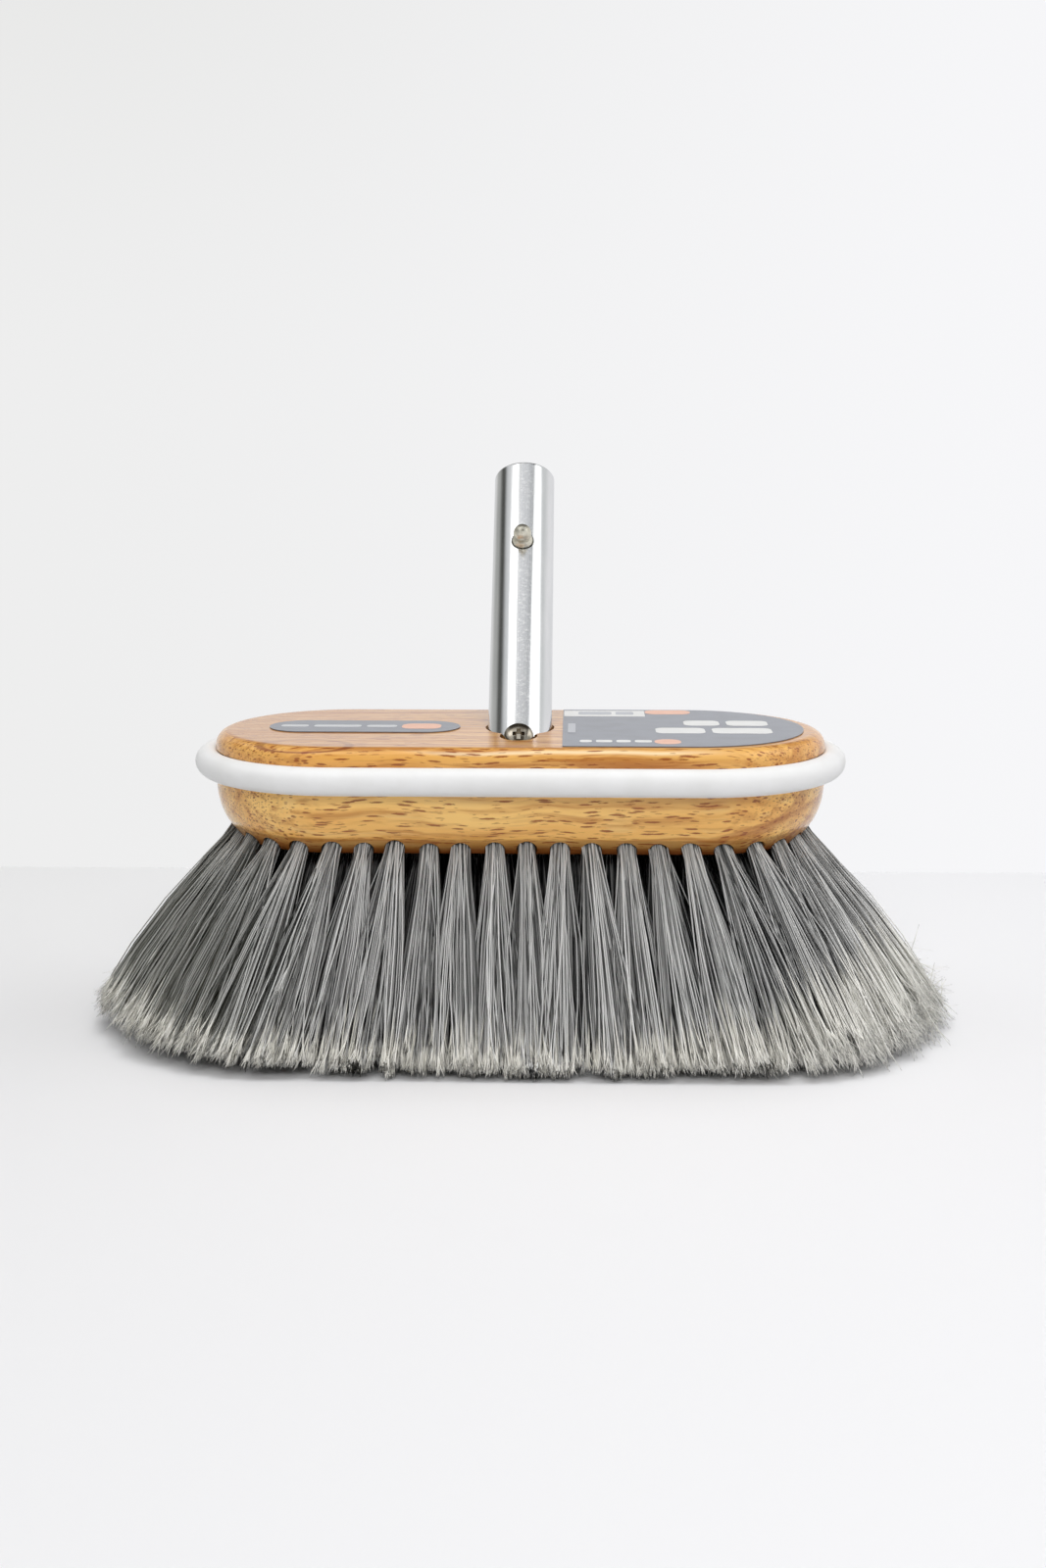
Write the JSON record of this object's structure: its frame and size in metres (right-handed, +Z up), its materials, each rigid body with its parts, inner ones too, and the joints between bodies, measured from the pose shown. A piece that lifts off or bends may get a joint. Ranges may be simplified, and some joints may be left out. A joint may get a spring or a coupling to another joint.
{
  "type": "deck brush head",
  "caption": "Hardwood deck brush head with a bumper ring, splayed grey bristles and a slanted aluminium handle tube that has a sprung lock button.",
  "frame": {"origin": "on the floor that the bristle tips stand on, centred along the block, and midway between the front bristles' tips and the tube's rear rim", "axes": "+X along the block, to the side with the large label; +Y to the side that the tube leans to; +Z up"},
  "size_m": [0.31, 0.1416, 0.1959],
  "materials": {
    "wood": "clear glossy varnish",
    "bumper": "smooth satin white vinyl",
    "tube": "polished, lightly scuffed",
    "screw": "bright plated",
    "button": "nickel plated",
    "spring": "spring steel",
    "label": "slate grey printed film",
    "bristle": "grey filaments with pale flagged tips"
  },
  "bodies": {
    "head": {"block": "wood", "bumper_ring": "bumper", "handle_tube": "tube", "cross_screw": "screw", "button_spring": "spring", "label_large": "label", "label_oval": "label", "bristles_front": "bristle", "bristles_back": "bristle", "bristles_left_end": "bristle", "bristles_right_end": "bristle", "bristles_row_1_left": "bristle", "bristles_row_1_right": "bristle", "bristles_row_2_left": "bristle", "bristles_row_2_right": "bristle", "bristles_row_3_left": "bristle", "bristles_row_3_right": "bristle", "bristles_row_4_left": "bristle", "bristles_row_4_right": "bristle", "bristles_row_5_left": "bristle", "bristles_row_5_right": "bristle"},
    "button": {"snap_button": "button"}
  },
  "joints": [
    {"name": "button_press", "type": "slide", "parent": "head", "child": "button", "axis": [0, 0.7738, -0.6334], "range_m": [0, 0.0075], "stiffness_N_per_m": 1200, "springref_m": -0.006, "deforming": ["button_spring"]}
  ]
}
